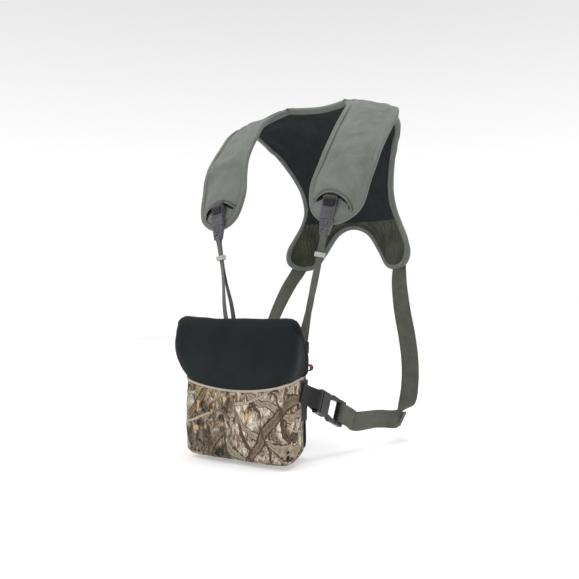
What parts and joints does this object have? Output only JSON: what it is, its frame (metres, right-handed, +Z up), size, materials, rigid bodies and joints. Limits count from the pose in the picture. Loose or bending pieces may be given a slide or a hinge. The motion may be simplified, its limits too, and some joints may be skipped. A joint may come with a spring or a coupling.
{
  "type": "binocular harness pack",
  "caption": "Chest harness with a padded shoulder yoke, webbing straps and release buckles that holds a hooded binocular pouch.",
  "frame": {"origin": "midway between the shoulders, at the height where the yoke rests on them", "axes": "+X to the wearer's left, +Y to the wearer's back, +Z up; the pouch hangs on the chest towards -Y"},
  "size_m": [0.2896, 0.3622, 0.4901],
  "materials": {
    "pad_shell": "woven sage-grey shell cloth",
    "binding": "woven binding tape",
    "lining": "black knit lining",
    "mesh": "dark olive spacer mesh",
    "webbing": "woven olive-grey webbing",
    "loop_webbing": "narrow woven webbing",
    "black_webbing": "black woven webbing",
    "hood_cloth": "matt charcoal stretch fabric",
    "camouflage": "printed brown and tan camouflage cloth",
    "buckle": "dark moulded acetal",
    "clip": "slate moulded plastic",
    "keeper": "light grey moulded plastic",
    "tab_stitch": "red bar-tack thread"
  },
  "bodies": {
    "harness": {"back_panel": "pad_shell", "back_lining": "lining", "pouch_body": "camouflage", "pouch_base": "camouflage", "pouch_back_panel": "hood_cloth", "chest_pad": "mesh", "pouch_rim_binding": "binding", "wing_mesh_left": "mesh", "wing_mesh_right": "mesh", "shoulder_pad_left": "pad_shell", "shoulder_pad_right": "pad_shell", "shoulder_pad_lining_left": "lining", "shoulder_pad_lining_right": "lining", "pad_pocket_flap_left": "pad_shell", "pad_pocket_flap_right": "pad_shell", "shoulder_webbing_left": "black_webbing", "shoulder_webbing_right": "black_webbing", "shoulder_socket_left": "clip", "shoulder_socket_right": "clip", "front_loop_left": "loop_webbing", "front_loop_right": "loop_webbing", "ring_tab_left": "black_webbing", "ring_tab_right": "black_webbing", "pouch_side_tape_left": "black_webbing", "pouch_side_tape_right": "black_webbing", "buckle_anchor_left": "black_webbing", "buckle_anchor_right": "black_webbing", "buckle_socket_left": "buckle", "buckle_socket_right": "buckle", "side_strap_left": "webbing", "side_strap_right": "webbing", "side_strap_end_left": "webbing", "side_strap_end_right": "webbing"},
    "hood": {"hood": "hood_cloth", "hood_pull_tab_left": "black_webbing", "hood_pull_tab_right": "black_webbing", "pull_tab_stitch_left": "tab_stitch", "pull_tab_stitch_right": "tab_stitch"},
    "shoulder_clip_left": {"shoulder_clip_left": "clip"},
    "loop_keeper_left": {"loop_keeper_left": "keeper"},
    "strap_ring_left": {"strap_ring_left": "buckle"},
    "side_buckle_left": {"buckle_ladder_left": "buckle", "buckle_arms_left": "buckle"},
    "shoulder_clip_right": {"shoulder_clip_right": "clip"},
    "loop_keeper_right": {"loop_keeper_right": "keeper"},
    "strap_ring_right": {"strap_ring_right": "buckle"},
    "side_buckle_right": {"buckle_ladder_right": "buckle", "buckle_arms_right": "buckle"}
  },
  "joints": [
    {"name": "hood_open", "type": "hinge", "parent": "harness", "child": "hood", "pos_m": [0, -0.1942, -0.373], "axis": [1, 0, 0], "range_deg": [0, 110]},
    {"name": "front_release_left", "type": "slide", "parent": "harness", "child": "shoulder_clip_left", "axis": [-0.1259, -0.1629, -0.9786], "range_m": [0, 0.012], "deforming": ["front_loop_left"]},
    {"name": "keeper_slide_left", "type": "slide", "parent": "harness", "child": "loop_keeper_left", "axis": [0.1985, 0.045, 0.9791], "range_m": [0, 0.01]},
    {"name": "ring_swivel_left", "type": "hinge", "parent": "harness", "child": "strap_ring_left", "pos_m": [0.054, -0.1145, -0.3295], "axis": [1, 0, 0], "range_deg": [-11, 11]},
    {"name": "side_release_left", "type": "slide", "parent": "harness", "child": "side_buckle_left", "axis": [0.2169, 0.8664, -0.4497], "range_m": [0, 0.024], "deforming": ["side_strap_left", "side_strap_end_left", "buckle_arms_left"]},
    {"name": "front_release_right", "type": "slide", "parent": "harness", "child": "shoulder_clip_right", "axis": [0.1259, -0.1629, -0.9786], "range_m": [0, 0.012], "deforming": ["front_loop_right"]},
    {"name": "keeper_slide_right", "type": "slide", "parent": "harness", "child": "loop_keeper_right", "axis": [-0.1985, 0.045, 0.9791], "range_m": [0, 0.01]},
    {"name": "ring_swivel_right", "type": "hinge", "parent": "harness", "child": "strap_ring_right", "pos_m": [-0.054, -0.1145, -0.3295], "axis": [1, 0, 0], "range_deg": [-11, 11]},
    {"name": "side_release_right", "type": "slide", "parent": "harness", "child": "side_buckle_right", "axis": [-0.2169, 0.8664, -0.4497], "range_m": [0, 0.024], "deforming": ["side_strap_right", "side_strap_end_right", "buckle_arms_right"]}
  ]
}
